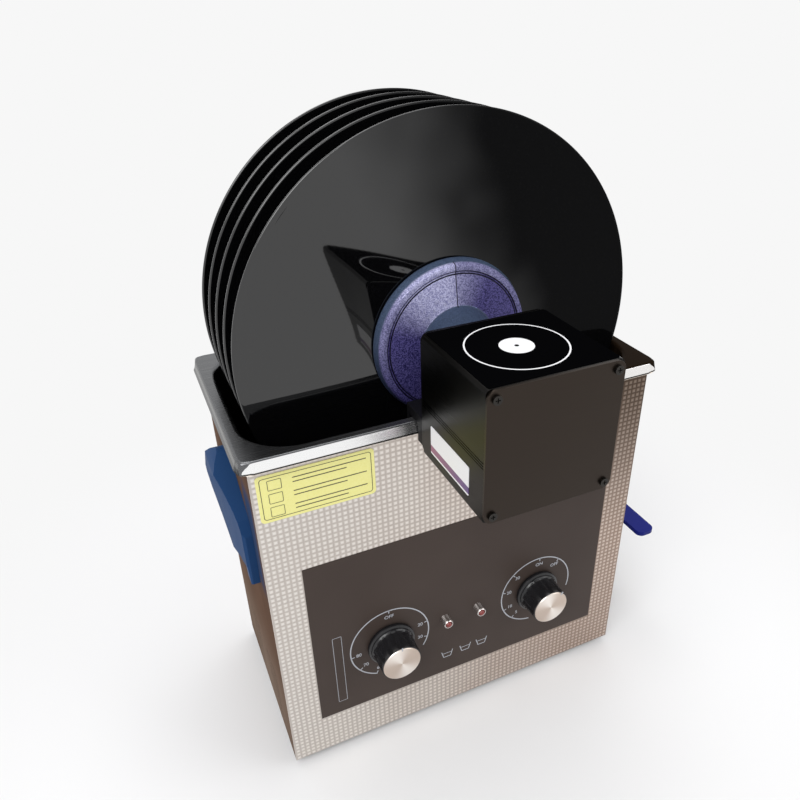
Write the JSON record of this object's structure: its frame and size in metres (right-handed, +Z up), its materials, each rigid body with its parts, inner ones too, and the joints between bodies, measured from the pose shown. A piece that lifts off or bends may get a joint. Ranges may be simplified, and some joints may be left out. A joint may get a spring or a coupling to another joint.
{
  "type": "record cleaning machine",
  "caption": "Ultrasonic bath with dials, side handles and a drain valve; a motor box hung on its rim turns a spindle of records through the bath.",
  "frame": {"origin": "on the table under the middle of the tank, in the plane of the feet", "axes": "+X to the right, +Y to the back along the spindle, +Z up"},
  "size_m": [0.4121, 0.2837, 0.5008],
  "materials": {
    "stainless_rim": "satin brushed stainless steel",
    "stainless_dimpled": "dimple-embossed stainless steel",
    "stainless_plain": "plain brushed stainless steel",
    "rubber_black": "matt black rubber",
    "zinc_screws": "bright zinc-plated steel",
    "handle_blue": "blue moulded plastic with a fine grain",
    "overlay_film": "dark brown-grey printed film",
    "notice_film": "pale yellow printed vinyl",
    "control_plastic": "off-white moulded plastic",
    "copper": "drawn copper",
    "bezel_chrome": "bright chrome plate",
    "lens_red": "red moulded lens",
    "transducer_aluminium": "turned aluminium",
    "ceramic": "fired ceramic rings",
    "dark_steel": "blackened steel",
    "silicone_orange": "orange silicone rubber",
    "board_green": "green solder mask",
    "ferrite": "dark grey ferrite with a copper winding",
    "inlet_black": "black moulded plastic",
    "wire_red": "red insulated wire",
    "fitting_steel": "polished stainless steel",
    "valve_brass": "nickel-washed brass",
    "sleeve_blue": "deep blue vinyl sleeve",
    "shaft_steel": "ground steel",
    "knob_black": "black fluted plastic",
    "cap_aluminium": "spun aluminium",
    "saddle_black": "black moulded plastic",
    "anodised_black": "black anodised extruded aluminium",
    "anodised_plate": "brushed and black anodised plate",
    "screws_dark": "dark nickel-plated steel",
    "label_black": "glossy black printed film",
    "motor_zinc": "zinc-plated steel can",
    "bronze": "sintered bronze",
    "print_purple": "metallic purple printed plastic",
    "vinyl_black": "pressed black vinyl with fine grooves",
    "seal_black": "soft black rubber",
    "nut_aluminium": "turned and knurled aluminium"
  },
  "bodies": {
    "tank_unit": {"tank": "stainless_rim", "front_panel": "stainless_dimpled", "case_wrap": "stainless_plain", "base_plate": "stainless_plain", "rubber_feet": "rubber_black", "case_screws": "zinc_screws", "handle_left": "handle_blue", "handle_right": "handle_blue", "control_panel": "overlay_film", "notice_label": "notice_film", "thermostat": "control_plastic", "thermostat_bulb": "copper", "timer": "control_plastic", "pilot_bezels": "bezel_chrome", "pilot_lenses": "lens_red", "transducer_horns": "transducer_aluminium", "transducer_ceramics": "ceramic", "transducer_masses": "dark_steel", "heater_pads": "silicone_orange", "generator_board": "board_green", "heat_sink": "transducer_aluminium", "output_transformer": "ferrite", "mains_inlet": "inlet_black", "wiring_loom": "wire_red", "drain_pipe": "fitting_steel", "drain_nut": "fitting_steel", "valve_body": "valve_brass", "hose_barb": "valve_brass"},
    "valve_handle": {"valve_ball": "fitting_steel", "valve_stem": "fitting_steel", "valve_lever": "fitting_steel", "lever_sleeve": "sleeve_blue"},
    "thermostat_control": {"thermostat_shaft": "shaft_steel", "thermostat_knob": "knob_black", "thermostat_cap": "cap_aluminium"},
    "timer_control": {"timer_shaft": "shaft_steel", "timer_knob": "knob_black", "timer_cap": "cap_aluminium"},
    "drive_unit": {"rim_saddle": "saddle_black", "drive_case_top": "anodised_black", "drive_case_bottom": "anodised_black", "front_plate": "anodised_plate", "back_plate": "anodised_plate", "drive_screws": "screws_dark", "drive_labels": "label_black", "gear_motor": "motor_zinc", "shaft_bush": "bronze", "dc_jack": "inlet_black"},
    "spindle": {"motor_shaft": "shaft_steel", "spindle_rod": "shaft_steel", "clamp_hub": "print_purple", "record_1": "vinyl_black", "record_2": "vinyl_black", "record_3": "vinyl_black", "record_4": "vinyl_black", "record_5": "vinyl_black", "spacers": "print_purple", "label_seals": "seal_black"},
    "end_clamp": {"outer_clamp": "print_purple"},
    "nut": {"clamp_nut": "nut_aluminium"}
  },
  "joints": [
    {"name": "drive_lift", "type": "slide", "parent": "tank_unit", "child": "drive_unit", "axis": [0, 0, 1], "range_m": [0, 0.16]},
    {"name": "spindle_turn", "type": "hinge", "parent": "drive_unit", "child": "spindle", "pos_m": [0, -0.1035, 0.35], "axis": [0, 1, 0], "continuous": true},
    {"name": "clamp_travel", "type": "slide", "parent": "spindle", "child": "end_clamp", "axis": [0, 1, 0], "range_m": [0, 0.003]},
    {"name": "nut_turn", "type": "hinge", "parent": "end_clamp", "child": "nut", "pos_m": [0, 0.0775, 0.35], "axis": [0, 1, 0], "range_deg": [0, 720]},
    {"name": "valve_turn", "type": "hinge", "parent": "tank_unit", "child": "valve_handle", "pos_m": [0.196, 0.008, 0.117], "axis": [0, 0, 1], "range_deg": [0, 90]},
    {"name": "thermostat_turn", "type": "hinge", "parent": "tank_unit", "child": "thermostat_control", "pos_m": [-0.0685, -0.082, 0.1084], "axis": [0, 1, 0], "range_deg": [0, 285]},
    {"name": "timer_turn", "type": "hinge", "parent": "tank_unit", "child": "timer_control", "pos_m": [0.0685, -0.082, 0.1084], "axis": [0, 1, 0], "range_deg": [0, 300]}
  ],
  "couplings": [
    {"joint": "nut_turn", "follows": "clamp_travel", "rad_per_m": 4188.8}
  ]
}
